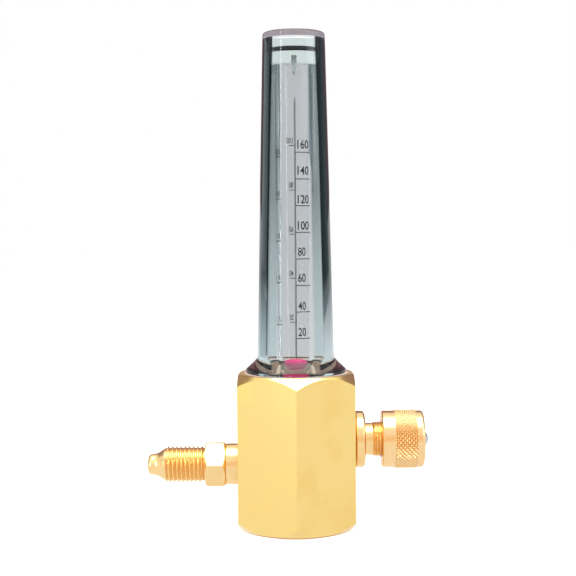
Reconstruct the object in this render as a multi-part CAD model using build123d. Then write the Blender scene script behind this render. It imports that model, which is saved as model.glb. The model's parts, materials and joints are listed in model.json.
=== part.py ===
from build123d import *
import math
import os

# A gas flowmeter: a hexagonal brass block that stands on its end, a clear tapered cover
# with the flow tube and its float ball inside, a needle valve on the right and a flare
# outlet on the left. Z is up, X runs from the outlet to the valve, and the origin is on
# the block's axis at its bottom face. All sizes are in millimetres.

# Clearances
running_clearance = 0.05
thread_clearance = 0.05
seal_clearance = 0.03
slip_clearance = 0.10

# Hexagonal block, with a flat towards the outlet and one towards the valve
body_across_flats = 34.93
body_height = 46.8
body_end_land = 0.46
body_chamfer_angle = 45.0

# Inlet port in the bottom face, with the filter and its spring ring at the end
inlet_radius = 5.72
inlet_depth = 11.0
filter_radius = 5.25
filter_thickness = 1.4
filter_chamber_radius = 4.6
filter_chamber_depth = 1.3
snap_ring_land = 0.6
snap_ring_thickness = 0.6
snap_ring_width = 1.1
snap_ring_groove = 0.3
snap_ring_gap_angle = 40.0

# Drilling that leans from the filter chamber to the valve chamber
feed_radius = 1.2
feed_start = 2.9
feed_chamber_share = 0.6

# Socket in the top face for the cover
socket_depth = 9.8
cover_ring_section = 1.8

# Clear cover
cover_height = 101.5
cover_top_radius = 9.29
cover_foot_radius = 11.58
cover_end_wall = 2.3
cover_end_rounding = 1.3
cover_bore_top_radius = 6.75
cover_bore_mouth_radius = 9.05
flange_radius = 15.2
flange_rim = 1.1
flange_cone_height = 3.3
flange_edge_rounding = 0.3
spigot_radius = 11.9
spigot_length = 8.5

# Flow tube and the float ball that rises in its taper
float_radius = 3.969
float_side_gap = 0.06
tube_radius = 5.65
tube_taper = 0.44
tube_end_play = 0.05

# Turned seat: a hub round the tube's foot and a nozzle inside it that the ball rests on
seat_shank_radius = 4.0
seat_shank_length = 5.5
seat_hub_radius = 7.2
seat_hub_height = 4.6
seat_floor_thickness = 1.6
seat_nozzle_length = 5.1
seat_cup_radius = 3.2
seat_gas_radius = 1.6
tube_ring_section = 1.0
tube_ring_height = 1.2

# Plug that holds the tube's top inside the cover, its fingers counted from plug_turn
plug_height = 7.4
plug_end_gap = 0.1
plug_ring_section = 1.4
plug_ring_height = 4.2
plug_turn = 90.0
plug_finger_length = 2.75
plug_finger_angle = 10.0
plug_finger_count = 3
plug_slot_width = 1.4
plug_slot_depth = 2.2
plug_slot_root = 3.4
stop_radius = 0.55
stop_reach = 1.9

# Riser from the valve to the seat, and gallery from the cover's socket to the outlet
riser_radius = 1.5
riser_sump = 0.4
gallery_radius = 1.25
gallery_offset = 9.3
gallery_margin = 0.1

# Outlet fitting, on the left flat
outlet_height = 19.0
outlet_shank_radius = 4.8
outlet_shank_length = 6.6
outlet_ring_section = 1.2
outlet_collar_radius = 6.2
outlet_collar_length = 3.74
outlet_hex_across_flats = 12.7
outlet_hex_length = 6.4
outlet_hex_land = 0.35
outlet_hex_turn = 6.0
outlet_relief_radius = 4.85
outlet_relief_length = 0.3
outlet_thread_radius = 5.556
outlet_thread_length = 11.7
outlet_nose_base_radius = 5.0
outlet_nose_tip_radius = 1.8
outlet_nose_length = 5.4
outlet_nose_rounding = 0.5
outlet_bore_radius = 1.4

# Needle valve, on the right flat
valve_below_socket = 10.7
bonnet_shank_radius = 5.5
bonnet_shank_length = 7.965
bonnet_ring_section = 1.4
bonnet_collar_radius = 8.53
bonnet_collar_length = 3.14
bonnet_collar_chamfer = 0.6
bonnet_neck_radius = 4.83
bonnet_neck_length = 2.36
bonnet_thread_radius = 5.4
bonnet_thread_length = 10.0
bonnet_end_chamfer = 0.4
packing_radius = 2.6
packing_bush_length = 2.0
packing_end_gap = 0.1
chamber_radius = 3.0
chamber_length = 4.1
needle_seat_thickness = 1.4
needle_hole_radius = 1.1

# Needle stem
stem_radius = 1.55
needle_half_angle = 12.0
needle_tip_radius = 0.3
stem_journal_radius = 1.2
stem_head_radius = 2.65
stem_head_height = 1.5

# Knurled knob, which screws on the bonnet's thread
knob_mouth_gap = 2.7
knob_length = 12.7
knob_radius = 8.55
knob_end_wall = 2.0
knob_end_rounding = 1.0
knob_mouth_chamfer = 0.3
knurl_start = 3.9
knurl_length = 6.5
knurl_peak_radius = 8.9
knurl_depth = 0.5
knurl_teeth = 40
knurl_rows = 5

# Places worked out from the sizes
body_apothem = body_across_flats / 2
ring_groove_foot = inlet_depth + snap_ring_land
filter_foot = ring_groove_foot + snap_ring_thickness + running_clearance
filter_top = filter_foot + filter_thickness
filter_land_radius = filter_radius + running_clearance
socket_floor = body_height - socket_depth
valve_height = socket_floor - valve_below_socket
riser_top = socket_floor - seat_shank_length
tube_foot = socket_floor + seat_floor_thickness
seat_top = tube_foot + seat_nozzle_length
cover_top = body_height + cover_height
cover_bore_top = cover_top - cover_end_wall
cover_bore_mouth = body_height - spigot_length
plug_top = cover_bore_top - plug_end_gap
plug_foot = plug_top - plug_height
tube_base_bore = float_radius + float_side_gap
float_reach = math.sqrt(2) * (float_radius + running_clearance)
float_height = seat_top - seat_cup_radius + float_reach
needle_seat_face = bonnet_shank_length + chamber_length
packing_section = packing_radius - stem_radius
packing_depth = packing_bush_length + 2 * packing_section + packing_end_gap
bonnet_neck_end = bonnet_collar_length + bonnet_neck_length
knob_mouth = bonnet_neck_end + knob_mouth_gap
knob_end = knob_mouth + knob_length

outlet_plane = Plane(origin=(-body_apothem, 0, outlet_height), x_dir=(0, 1, 0), z_dir=(-1, 0, 0))
valve_plane = Plane(origin=(body_apothem, 0, valve_height), x_dir=(0, 1, 0), z_dir=(1, 0, 0))


def turned(*outline):
    """Solid of revolution about Z of the closed outline through (radius, height) points."""
    return revolve(Plane.XZ * make_face(Polyline(*outline, close=True)), Axis.Z)


def rod(radius, bottom, top):
    """Plain cylinder on Z between two heights."""
    return Pos(0, 0, bottom) * Cylinder(radius, top - bottom, align=(Align.CENTER, Align.CENTER, Align.MIN))


def washer(outer, inner, bottom, top):
    """Flat ring on Z between two heights."""
    return rod(outer, bottom, top) - rod(inner, bottom, top)


def ring_seal(inner, section, height):
    """Rubber ring whose round section lies against a shaft of the inner radius."""
    thickness = section / 2 - seal_clearance
    return Pos(0, 0, height) * Torus(inner + seal_clearance + thickness, thickness)


def sector(radius, angle, turn, bottom, top):
    """Pie-shaped block on Z, centred on the direction of the turn."""
    half_angle = math.radians(angle / 2)
    edge = (radius * math.cos(half_angle), radius * math.sin(half_angle))
    outline = make_face(Polyline((0, 0), edge, (edge[0], -edge[1]), close=True))
    return Pos(0, 0, bottom) * Rot(0, 0, turn) * extrude(outline, top - bottom)


def drilled(start, end, radius):
    """Straight drilling between two points of the XZ plane."""
    way = Vector(end[0] - start[0], 0, end[1] - start[1])
    line = Plane(origin=(start[0], 0, start[1]), z_dir=way)
    return line * rod(radius, 0, way.length)


def hex_bar(across_flats, length, land, angle):
    """Hexagonal bar on Z, corners on X, turned back at both ends to a circle inside the flats."""
    end_circle = across_flats / 2 - land
    corner = across_flats / 2 / math.cos(math.radians(30))
    reach = 1.2 * (corner - end_circle)
    rise = reach * math.tan(math.radians(angle))
    blank = turned(
        (0, 0),
        (end_circle, 0),
        (end_circle + reach, rise),
        (end_circle + reach, length - rise),
        (end_circle, length),
        (0, length),
    )
    bar = extrude(RegularPolygon(across_flats / 2, 6, major_radius=False), length)
    return bar & blank


def cover_bore_radius(height):
    """Radius of the cover's tapered bore at a height of the whole part."""
    share = (height - cover_bore_mouth) / (cover_bore_top - cover_bore_mouth)
    return cover_bore_mouth_radius + share * (cover_bore_top_radius - cover_bore_mouth_radius)


def make_body():
    """Block with the inlet below, the socket above and the bores of both side fittings."""
    bar = hex_bar(body_across_flats, body_height, body_end_land, body_chamfer_angle)
    block = Rot(0, 0, 30) * bar

    # Inlet port, spring ring groove, filter seat and the chamber behind the filter
    block -= rod(inlet_radius, 0, inlet_depth)
    block -= rod(filter_land_radius, inlet_depth, filter_top)
    block -= rod(filter_land_radius + snap_ring_groove, ring_groove_foot, filter_foot)
    block -= rod(filter_chamber_radius, filter_top, filter_top + filter_chamber_depth)

    # Socket of the cover, hole of the tube's seat and the riser below it
    socket_radius = spigot_radius + thread_clearance
    block -= rod(socket_radius, socket_floor, body_height)
    block -= rod(spigot_radius + cover_ring_section, body_height - cover_ring_section, body_height)
    block -= rod(seat_shank_radius + thread_clearance, riser_top, socket_floor)
    block -= rod(riser_radius, valve_height - needle_hole_radius - riser_sump, riser_top)

    # Valve bore, steps counted from the right flat inwards
    seat_end = needle_seat_face + needle_seat_thickness
    valve_bore = rod(bonnet_shank_radius + thread_clearance, -bonnet_shank_length, 0)
    valve_bore += rod(bonnet_shank_radius + bonnet_ring_section, -bonnet_ring_section, 0)
    valve_bore += rod(chamber_radius, -seat_end, -bonnet_shank_length)
    valve_bore += rod(needle_hole_radius, -body_apothem, -seat_end)
    block -= valve_plane * valve_bore
    chamber_inner = body_apothem - needle_seat_face
    feed_end = chamber_inner + feed_chamber_share * chamber_length
    block -= drilled((feed_start, filter_top), (feed_end, valve_height), feed_radius)

    # Outlet bore and the gallery down to it
    gallery_end = body_apothem - gallery_offset + gallery_radius + gallery_margin
    outlet_bore = rod(outlet_shank_radius + thread_clearance, -gallery_end, 0)
    outlet_bore += rod(outlet_shank_radius + outlet_ring_section, -outlet_ring_section, 0)
    block -= outlet_plane * outlet_bore
    block -= drilled((-gallery_offset, socket_floor), (-gallery_offset, outlet_height), gallery_radius)
    return block


def make_inlet_filter():
    return rod(filter_radius, filter_foot, filter_top)


def make_filter_snap_ring():
    outer = filter_land_radius + snap_ring_groove - running_clearance
    foot = ring_groove_foot + running_clearance / 2
    top = foot + snap_ring_thickness
    ring = washer(outer, outer - snap_ring_width, foot, top)
    return ring - sector(2 * outer, snap_ring_gap_angle, -90, foot, top)


def make_tube_seat():
    """Threaded shank, hub round the tube's foot, and the nozzle inside the tube with its cup."""
    hub_top = socket_floor + seat_hub_height
    hub_bore = tube_radius + running_clearance
    nozzle_radius = tube_base_bore - running_clearance
    seat = turned(
        (seat_gas_radius, riser_top),
        (seat_shank_radius, riser_top),
        (seat_shank_radius, socket_floor),
        (seat_hub_radius, socket_floor),
        (seat_hub_radius, hub_top),
        (hub_bore, hub_top),
        (hub_bore, tube_foot),
        (nozzle_radius, tube_foot),
        (nozzle_radius, seat_top),
        (seat_cup_radius, seat_top),
        (seat_gas_radius, seat_top - (seat_cup_radius - seat_gas_radius)),
    )
    groove = tube_foot + tube_ring_height
    half_width = tube_ring_section / 2
    groove_radius = tube_radius + tube_ring_section
    return seat - washer(groove_radius, tube_radius, groove - half_width, groove + half_width)


def make_tube_foot_ring():
    return ring_seal(tube_radius, tube_ring_section, tube_foot + tube_ring_height)


def make_flow_tube():
    tube_top = plug_foot - tube_end_play
    return turned(
        (tube_base_bore, tube_foot),
        (tube_radius, tube_foot),
        (tube_radius, tube_top),
        (tube_base_bore + tube_taper, tube_top),
        (tube_base_bore, seat_top),
    )


def make_float_ball():
    return Pos(0, 0, float_height) * Sphere(float_radius)


def make_cover():
    """Tapered cover with a flange at its foot, a spigot below it and a blind tapered bore."""
    rim_top = body_height + flange_rim
    shell = turned(
        (0, cover_bore_mouth),
        (spigot_radius, cover_bore_mouth),
        (spigot_radius, body_height),
        (flange_radius, body_height),
        (flange_radius, rim_top),
        (cover_foot_radius, rim_top + flange_cone_height),
        (cover_top_radius, cover_top),
        (0, cover_top),
    )
    circles = shell.edges().filter_by(GeomType.CIRCLE)
    shell = fillet(circles.sort_by(Axis.Z)[-1], cover_end_rounding)
    widest = shell.edges().filter_by(GeomType.CIRCLE).sort_by(SortBy.RADIUS)[-2:]
    shell = fillet(widest, flange_edge_rounding)
    bore = turned(
        (0, cover_bore_mouth),
        (cover_bore_mouth_radius, cover_bore_mouth),
        (cover_bore_top_radius, cover_bore_top),
        (0, cover_bore_top),
    )
    return shell - bore


def make_cover_ring():
    return ring_seal(spigot_radius, cover_ring_section, body_height - cover_ring_section / 2)


def plug_ring_place():
    """Height of the plug's ring and the inner radius of its groove."""
    height = plug_foot + plug_ring_height
    return height, cover_bore_radius(height) - plug_ring_section


def make_top_plug():
    """Plug that follows the cover's taper, with a sealing groove, fingers that hold the tube's
    end, gas slots between them and a pin in the tube that stops the ball."""
    ring_height, groove_radius = plug_ring_place()
    finger_foot = plug_foot - plug_finger_length
    half_width = plug_ring_section / 2
    plug = turned(
        (0, finger_foot),
        (cover_bore_radius(finger_foot) - slip_clearance, finger_foot),
        (cover_bore_radius(plug_top) - slip_clearance, plug_top),
        (0, plug_top),
    )
    plug -= washer(
        cover_bore_radius(ring_height),
        groove_radius,
        ring_height - half_width,
        ring_height + half_width,
    )
    body = plug & rod(cover_bore_mouth_radius, plug_foot, plug_top)
    sleeve = plug & washer(cover_bore_mouth_radius, tube_radius + running_clearance, finger_foot, plug_foot)
    step = 360 / plug_finger_count
    for index in range(plug_finger_count):
        turn = plug_turn + index * step
        body += sleeve & sector(2 * cover_bore_mouth_radius, plug_finger_angle, turn, finger_foot, plug_foot)
        reach = cover_bore_mouth_radius
        slot = Box(reach, plug_slot_width, plug_slot_depth, align=(Align.MIN, Align.CENTER, Align.MIN))
        body -= Rot(0, 0, turn + step / 2) * Pos(plug_slot_root, 0, plug_foot) * slot
    pin = rod(stop_radius, plug_foot - stop_reach, plug_foot + plug_slot_depth)
    pin = fillet(pin.edges().sort_by(Axis.Z)[0], stop_radius / 2)
    return body + pin


def make_plug_ring():
    ring_height, groove_radius = plug_ring_place()
    return ring_seal(groove_radius, plug_ring_section, ring_height)


def make_outlet_fitting():
    """Flare nipple, modelled along Z from the block's flat and turned on to the left flat."""
    hex_end = outlet_collar_length + outlet_hex_length
    relief_end = hex_end + outlet_relief_length
    thread_end = relief_end + outlet_thread_length
    start_chamfer = outlet_thread_radius - outlet_relief_radius
    end_chamfer = outlet_thread_radius - outlet_nose_base_radius
    nose_end = thread_end + outlet_nose_length
    nipple = turned(
        (0, -outlet_shank_length),
        (outlet_shank_radius, -outlet_shank_length),
        (outlet_shank_radius, 0),
        (outlet_collar_radius, 0),
        (outlet_collar_radius, outlet_collar_length),
        (outlet_relief_radius, outlet_collar_length),
        (outlet_relief_radius, relief_end),
        (outlet_thread_radius, relief_end + start_chamfer),
        (outlet_thread_radius, thread_end - end_chamfer),
        (outlet_nose_base_radius, thread_end),
        (outlet_nose_tip_radius, nose_end),
        (0, nose_end),
    )
    tip = nipple.edges().filter_by(GeomType.CIRCLE).sort_by(Axis.Z)[-1]
    nipple = fillet(tip, outlet_nose_rounding)
    nut = hex_bar(outlet_hex_across_flats, outlet_hex_length, outlet_hex_land, 30)
    nipple += Pos(0, 0, outlet_collar_length) * Rot(0, 0, outlet_hex_turn) * nut
    nipple -= rod(outlet_bore_radius, -outlet_shank_length, nose_end)
    return outlet_plane * nipple


def make_outlet_ring():
    height = -outlet_ring_section / 2
    return outlet_plane * ring_seal(outlet_shank_radius, outlet_ring_section, height)


def make_bonnet():
    """Valve bonnet: shank, collar, neck and thread, with the stem's hole and packing chamber."""
    thread_end = bonnet_neck_end + bonnet_thread_length
    stem_hole = stem_radius + running_clearance
    bonnet = turned(
        (stem_hole, packing_depth - bonnet_shank_length),
        (packing_radius, packing_depth - bonnet_shank_length),
        (packing_radius, -bonnet_shank_length),
        (bonnet_shank_radius, -bonnet_shank_length),
        (bonnet_shank_radius, 0),
        (bonnet_collar_radius - bonnet_collar_chamfer, 0),
        (bonnet_collar_radius, bonnet_collar_chamfer),
        (bonnet_collar_radius, bonnet_collar_length - bonnet_collar_chamfer),
        (bonnet_collar_radius - bonnet_collar_chamfer, bonnet_collar_length),
        (bonnet_neck_radius, bonnet_collar_length),
        (bonnet_neck_radius, bonnet_neck_end),
        (bonnet_thread_radius, bonnet_neck_end),
        (bonnet_thread_radius, thread_end - bonnet_end_chamfer),
        (bonnet_thread_radius - bonnet_end_chamfer, thread_end),
        (stem_hole, thread_end),
    )
    return valve_plane * bonnet


def make_bonnet_ring():
    return valve_plane * ring_seal(bonnet_shank_radius, bonnet_ring_section, -bonnet_ring_section / 2)


def make_packing_bush():
    mouth = -bonnet_shank_length
    bush = washer(packing_radius, stem_radius + running_clearance, mouth, mouth + packing_bush_length)
    return valve_plane * bush


def make_packing_ring(place):
    """Ring on the stem, the first against the bush and the next one behind it."""
    height = packing_bush_length - bonnet_shank_length + (place + 0.5) * packing_section
    return valve_plane * ring_seal(stem_radius, packing_section, height)


def make_packing_ring_inner():
    return make_packing_ring(0)


def make_packing_ring_outer():
    return make_packing_ring(1)


def make_needle_seat():
    end = -needle_seat_face - needle_seat_thickness
    return valve_plane * washer(chamber_radius, needle_hole_radius, end, -needle_seat_face)


def make_needle_stem():
    """Needle, stem, journal in the knob's end wall and the domed head outside it."""
    slope = math.tan(math.radians(needle_half_angle))
    contact_radius = needle_hole_radius - running_clearance
    tip = -needle_seat_face - (contact_radius - needle_tip_radius) / slope
    cone_end = -needle_seat_face + (stem_radius - contact_radius) / slope
    shoulder = knob_end - knob_end_wall - running_clearance
    head = knob_end + running_clearance
    outline = Polyline(
        (0, head + stem_head_height),
        (0, tip),
        (needle_tip_radius, tip),
        (stem_radius, cone_end),
        (stem_radius, shoulder),
        (stem_journal_radius, shoulder),
        (stem_journal_radius, head),
        (stem_head_radius, head),
    )
    dome_radius = (stem_head_radius**2 + stem_head_height**2) / (2 * stem_head_height)
    dome = RadiusArc((stem_head_radius, head), (0, head + stem_head_height), -dome_radius)
    return valve_plane * revolve(Plane.XZ * make_face([outline, dome]), Axis.Z)


def make_knurl(start):
    """Band of pyramids where two sets of crossed grooves meet, as a closed faceted solid.

    Corners lie on a grid round the band, and every second one is a peak. Each square of the
    grid is folded along the line between its two low corners, which is the groove's bottom.
    """
    columns = 2 * knurl_teeth
    levels = 2 * knurl_rows

    def corner(column, level):
        peak = (column + level) % 2 == 0
        radius = knurl_peak_radius if peak else knurl_peak_radius - knurl_depth
        angle = 2 * math.pi * (column % columns) / columns
        height = start + knurl_length * level / levels
        return Vector(radius * math.cos(angle), radius * math.sin(angle), height)

    facets = []
    for level in range(levels):
        for column in range(columns):
            low = corner(column, level)
            low_next = corner(column + 1, level)
            high = corner(column, level + 1)
            high_next = corner(column + 1, level + 1)
            if (column + level) % 2 == 0:
                facets.append(Face(Wire.make_polygon([low, low_next, high])))
                facets.append(Face(Wire.make_polygon([high_next, high, low_next])))
            else:
                facets.append(Face(Wire.make_polygon([low_next, high_next, low])))
                facets.append(Face(Wire.make_polygon([high, low, high_next])))
    for level in (0, levels):
        rim = [corner(column, level) for column in range(columns)]
        facets.append(Face(Wire.make_polygon(rim)))
    return Solid(Shell(facets))


def make_knob():
    """Knob with a knurled band, open towards the bonnet, its end wall carried by the stem."""
    shell = rod(knob_radius, knob_mouth, knob_end)
    shell = fillet(shell.edges().sort_by(Axis.Z)[-1], knob_end_rounding)
    shell = chamfer(shell.edges().sort_by(Axis.Z)[0], knob_mouth_chamfer)
    band = knob_mouth + knurl_start
    valley_radius = knurl_peak_radius - knurl_depth
    shell -= washer(knurl_peak_radius, valley_radius - knurl_depth, band, band + knurl_length)
    shell += make_knurl(band)
    shell -= rod(bonnet_thread_radius + thread_clearance, knob_mouth, knob_end - knob_end_wall)
    shell -= rod(stem_journal_radius + running_clearance, knob_end - knob_end_wall, knob_end)
    return valve_plane * shell


nodes = {
    "hex_body": make_body,
    "inlet_filter": make_inlet_filter,
    "filter_snap_ring": make_filter_snap_ring,
    "tube_seat": make_tube_seat,
    "tube_foot_o_ring": make_tube_foot_ring,
    "flow_tube": make_flow_tube,
    "float_ball": make_float_ball,
    "tube_cover": make_cover,
    "cover_o_ring": make_cover_ring,
    "top_plug": make_top_plug,
    "plug_o_ring": make_plug_ring,
    "outlet_fitting": make_outlet_fitting,
    "outlet_o_ring": make_outlet_ring,
    "valve_bonnet": make_bonnet,
    "bonnet_o_ring": make_bonnet_ring,
    "packing_bush": make_packing_bush,
    "packing_o_ring_inner": make_packing_ring_inner,
    "packing_o_ring_outer": make_packing_ring_outer,
    "needle_seat": make_needle_seat,
    "needle_stem": make_needle_stem,
    "valve_knob": make_knob,
}

os.makedirs("parts", exist_ok=True)
for name, make in nodes.items():
    export_step(make(), f"parts/{name}.step")
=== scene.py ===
# %% [markdown]
# This script dresses a gas flowmeter: a hexagonal brass block, a clear tapered cover with a
# metering tube and a ball in it, a flare outlet on the left and a needle valve on the right.
# The solids come from CAD and are never moved. Most of them keep their shape and only get a
# finish. Five are drawn again because a plain solid can't carry what the real one shows: the
# two clear parts need smooth curves to bend light well, two brass parts have real threads, and
# one rubber ring has to touch the wall that it seals.

import json
import math

import bpy
import numpy as np
from mathutils import Matrix, Vector


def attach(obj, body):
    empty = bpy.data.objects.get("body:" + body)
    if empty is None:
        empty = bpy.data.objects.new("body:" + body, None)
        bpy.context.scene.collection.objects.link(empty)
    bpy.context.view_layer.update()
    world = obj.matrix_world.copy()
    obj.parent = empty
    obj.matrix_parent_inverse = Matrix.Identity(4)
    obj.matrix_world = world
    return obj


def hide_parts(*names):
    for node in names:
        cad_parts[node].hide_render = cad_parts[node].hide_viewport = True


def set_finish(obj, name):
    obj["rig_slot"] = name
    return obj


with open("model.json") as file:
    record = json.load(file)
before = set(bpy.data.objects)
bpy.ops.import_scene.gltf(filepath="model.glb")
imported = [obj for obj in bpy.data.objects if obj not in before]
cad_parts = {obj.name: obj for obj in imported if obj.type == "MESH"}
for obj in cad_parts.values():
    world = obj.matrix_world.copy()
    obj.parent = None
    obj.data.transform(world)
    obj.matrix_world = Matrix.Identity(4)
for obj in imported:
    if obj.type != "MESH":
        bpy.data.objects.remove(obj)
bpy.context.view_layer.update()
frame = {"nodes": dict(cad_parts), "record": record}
nodes = frame["nodes"]
MM = 0.001

# %% [markdown]
# The camera comes first, so that every later step can be judged from the photograph's place.
# A long lens from a little over a third of a metre gives the mild perspective of a product
# shot. Its up direction leans by less than half a degree, as the object does in the picture.
# The helper that puts it in the scene serves everything that follows.

# %% Camera
CAMERA_DISTANCE = 370 * MM
CAMERA_HEIGHT = 90.25 * MM
CAMERA_ASIDE = -2.2 * MM
CAMERA_DIP = math.radians(2.79)
CAMERA_LEAN = math.radians(0.42)
FOCAL_LENGTH_MM = 76.9


def new_object(name, data):
    """Object with the given data, in the scene."""
    made = bpy.data.objects.new(name, data)
    bpy.context.scene.collection.objects.link(made)
    return made


camera_data = bpy.data.cameras.new("camera")
camera_data.lens = FOCAL_LENGTH_MM
camera_data.sensor_width = 36.0
camera_data.clip_start = 0.01
camera = new_object("camera", camera_data)
forward = Vector((0, math.cos(CAMERA_DIP), -math.sin(CAMERA_DIP)))
lean_up = Vector((math.sin(CAMERA_LEAN), 0, math.cos(CAMERA_LEAN)))
right = forward.cross(lean_up).normalized()
up = right.cross(forward)
turn = Matrix((right, up, -forward)).transposed().to_4x4()
camera.matrix_world = Matrix.Translation((CAMERA_ASIDE, -CAMERA_DISTANCE, CAMERA_HEIGHT)) @ turn
bpy.context.scene.camera = camera
print("camera looks along", [round(v, 3) for v in forward])

# %% [markdown]
# Every new piece here is a grid of points: rows follow a profile, columns go round the axis.
# Blender could spin a profile with a Screw modifier, but a grid worked out with numpy also
# lets the radius change with the angle, which is what a thread and a hexagon need. Rows that
# shrink to one point on the axis are poles, and there the grid closes with triangles.

# %% Turn a grid of points into a closed mesh
SHARP_ANGLE = math.radians(32)
POLE_SIZE = 1e-9


def mesh_from_grid(name, points, closed=True):
    """Mesh over points[row, column]: columns wrap round, and rows do too when closed is true.

    Each face joins two neighbours of a row with the two of the next one. A row whose points
    coincide counts as one vertex, so its faces are triangles that share it.
    """
    rows, columns, _ = points.shape
    index = np.arange(rows * columns).reshape(rows, columns)
    pole = np.ptp(points, axis=1).max(axis=1) < POLE_SIZE
    index[pole] = index[pole, :1]
    used, flat = np.unique(index, return_inverse=True)
    index = flat.reshape(rows, columns)
    last = rows if closed else rows - 1
    low, low_pole = index[:last], pole[:last]
    high, high_pole = np.roll(index, -1, axis=0)[:last], np.roll(pole, -1)[:last]
    low_next, high_next = np.roll(low, -1, axis=1), np.roll(high, -1, axis=1)
    whole = ~low_pole & ~high_pole
    quads = np.stack([low, low_next, high_next, high], axis=-1)[whole].reshape(-1, 4)
    opening = np.stack([low, high_next, high], axis=-1)[low_pole & ~high_pole].reshape(-1, 3)
    closing = np.stack([low, low_next, high], axis=-1)[~low_pole & high_pole].reshape(-1, 3)
    mesh = bpy.data.meshes.new(name)
    faces = quads.tolist() + opening.tolist() + closing.tolist()
    mesh.from_pydata(points.reshape(-1, 3)[used].tolist(), [], faces)
    mesh.polygons.foreach_set("use_smooth", np.ones(len(faces), bool))
    mesh.set_sharp_from_angle(angle=SHARP_ANGLE)
    mesh.update()
    return mesh


print("edges stay sharp above", round(math.degrees(SHARP_ANGLE)), "degrees")

# %% [markdown]
# A finished mesh becomes an object that stays at the origin, because its points already have
# their places in the CAD frame. It is told which moving body it rides on, which slot of the
# record gives its finish, and which plain CAD solid it stands for. That solid is then hidden.
# The second helper is for closed pieces on the meter's own body.

# %% Put a piece in the scene
def put_in_scene(name, mesh, body, slot=None, stands_for=()):
    """Object at the origin for the mesh, riding on its body, with the record's slot if any."""
    piece = new_object(name, mesh)
    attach(piece, body)
    if slot:
        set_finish(piece, slot)
    if stands_for:
        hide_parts(*stands_for)
    print(f"{name}: {len(mesh.vertices)} vertices, {len(mesh.polygons)} faces")
    return piece


def turned_piece(name, grid, slot, stands_for):
    """Piece of the meter that is made from a closed grid and stands for one CAD solid."""
    return put_in_scene(name, mesh_from_grid(name, grid), "meter", slot, [stands_for])


print("CAD solids in the frame:", len(nodes))

# %% [markdown]
# A turned part has no razor edges, and a profile with small rounded corners catches light
# along them. Each corner is replaced by a short quadratic curve that starts and ends at the
# same distance from it. The profile runs up the outside and down the inside of a part, so
# that the faces made from it point outwards.

# %% Profiles with softened corners
CORNER_STEPS = 5
SAME_POINT = 1e-6


def softened(corners):
    """Profile through (radius, height, softening) corners, in millimetres.

    A corner P with neighbours A and B becomes the curve (1-t)^2 S + 2t(1-t) P + t^2 E, where
    S and E lie on the lines to A and B at the softening's distance from P.
    """
    corners = np.array(corners, float)
    place, reach = corners[:, :2], corners[:, 2:]
    before = np.roll(place, 1, axis=0) - place
    after = np.roll(place, -1, axis=0) - place
    start = place + before / np.linalg.norm(before, axis=1, keepdims=True) * reach
    end = place + after / np.linalg.norm(after, axis=1, keepdims=True) * reach
    t = np.linspace(0, 1, CORNER_STEPS + 1)[None, :, None]
    curve = (1 - t) ** 2 * start[:, None] + 2 * t * (1 - t) * place[:, None] + t**2 * end[:, None]
    profile = curve.reshape(-1, 2)
    moved = np.linalg.norm(profile - np.roll(profile, 1, axis=0), axis=1) > SAME_POINT
    return profile[moved]


square = softened([(0, 0, 0.1), (1, 0, 0.1), (1, 1, 0.1), (0, 1, 0.1)])
print("a square with four softened corners has", len(square), "points")

# %% [markdown]
# A profile becomes a body when it is carried round an axis. The axis is given by its origin
# and its directions, so that one formula serves the upright cover and both side fittings. The
# radius may differ from column to column, as on the thread and the hexagon further down.

# %% Carry a profile round an axis
def round_axis(radius, height, columns, origin=(0, 0, 0), x_dir=(1, 0, 0), z_dir=(0, 0, 1)):
    """Points at radius[row, column] and height[row] round an axis, in metres.

    The point is origin + radius (cos a X + sin a Y) + height Z, for the angle a of its column.
    """
    angle = 2 * math.pi * np.arange(columns) / columns
    x_dir, z_dir = np.array(x_dir, float), np.array(z_dir, float)
    y_dir = np.cross(z_dir, x_dir)
    radius = np.broadcast_to(radius, (len(height), columns))[..., None]
    ray = np.cos(angle)[:, None] * x_dir + np.sin(angle)[:, None] * y_dir
    return np.array(origin) + MM * (radius * ray[None] + np.array(height)[:, None, None] * z_dir)


square_ring = round_axis(4 + square[:, :1], square[:, 1], 8)
print("carried round in 8 columns it has", square_ring.shape[0] * square_ring.shape[1], "points")

# %% [markdown]
# The cover is a thick clear moulding that tapers to the top, with a flange at its foot and a
# blind bore. What bends the light is the pair of surfaces, outer wall and bore, so both are
# in one closed mesh. Facets would show as stripes in it, hence the many columns.

# %% Clear cover
CLEAR_COLUMNS = 256
# (radius, height, softening): up the spigot, over the flange, up the wall and down the bore
cover_corners = [
    (9.05, 38.3, 0.2),
    (11.9, 38.3, 0.3),
    (11.9, 46.8, 0.1),
    (15.2, 46.8, 0.3),
    (15.2, 47.9, 0.3),
    (11.58, 51.2, 1.6),
    (9.29, 148.3, 0.9),
    (0.0, 148.3, 0.0),
    (0.0, 146.0, 0.0),
    (6.75, 146.0, 0.5),
]
cover_profile = softened(cover_corners)
cover_grid = round_axis(cover_profile[:, :1], cover_profile[:, 1], CLEAR_COLUMNS)
cover = turned_piece("clear_cover", cover_grid, "cover_clear", "tube_cover")

# %% [markdown]
# The metering tube is straight outside, and its bore widens slowly to the top: the higher the
# ball floats, the more gas passes it. Its foot stands over the nozzle of the seat. It is made
# as the cover is, because it bends light too.

# %% Metering tube
TUBE_RADIUS = 5.65
# (radius, height, softening): across the foot, up the outside and down the widening bore
tube_corners = [
    (4.03, 38.6, 0.12),
    (TUBE_RADIUS, 38.6, 0.15),
    (TUBE_RADIUS, 138.45, 0.2),
    (4.467, 138.45, 0.2),
    (4.03, 43.7, 0.0),
]
tube_profile = softened(tube_corners)
tube_grid = round_axis(tube_profile[:, :1], tube_profile[:, 1], CLEAR_COLUMNS)
tube = turned_piece("metering_tube", tube_grid, "tube_glass", "flow_tube")

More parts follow.
